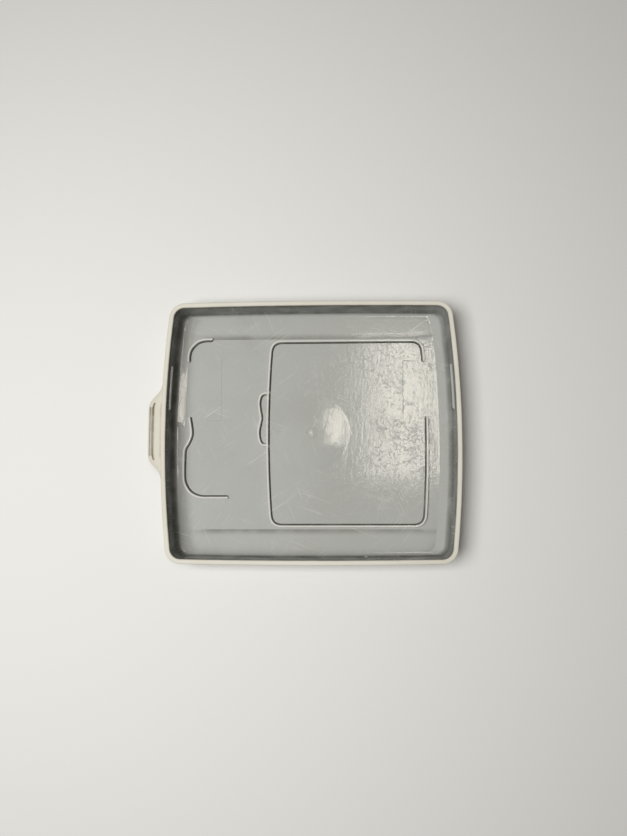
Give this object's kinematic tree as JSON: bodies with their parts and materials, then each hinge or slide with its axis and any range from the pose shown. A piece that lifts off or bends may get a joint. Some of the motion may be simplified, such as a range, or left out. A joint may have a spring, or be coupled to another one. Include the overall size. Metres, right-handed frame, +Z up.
{
  "type": "egg holder tray",
  "caption": "Shallow bowed-sided kitchen tray: a grey pan with a ribbed floor under a lift-off cream rim frame with a pull handle.",
  "frame": {"origin": "centre of the pan's flat underside, midway between its side walls and between its end walls", "axes": "+Z up out of the open tray, the handle at -X, Y along the side walls"},
  "size_m": [0.2266, 0.1912, 0.026],
  "materials": {
    "pan_plastic": "glossy moulded grey plastic with fine scratches",
    "rim_plastic": "satin aged cream plastic"
  },
  "bodies": {
    "pan": {"pan": "pan_plastic"},
    "rim_frame": {"rim_frame": "rim_plastic"}
  },
  "joints": [
    {"name": "rim_lift", "type": "slide", "parent": "pan", "child": "rim_frame", "axis": [0, 0, 1], "range_m": [0, 0.04]}
  ]
}
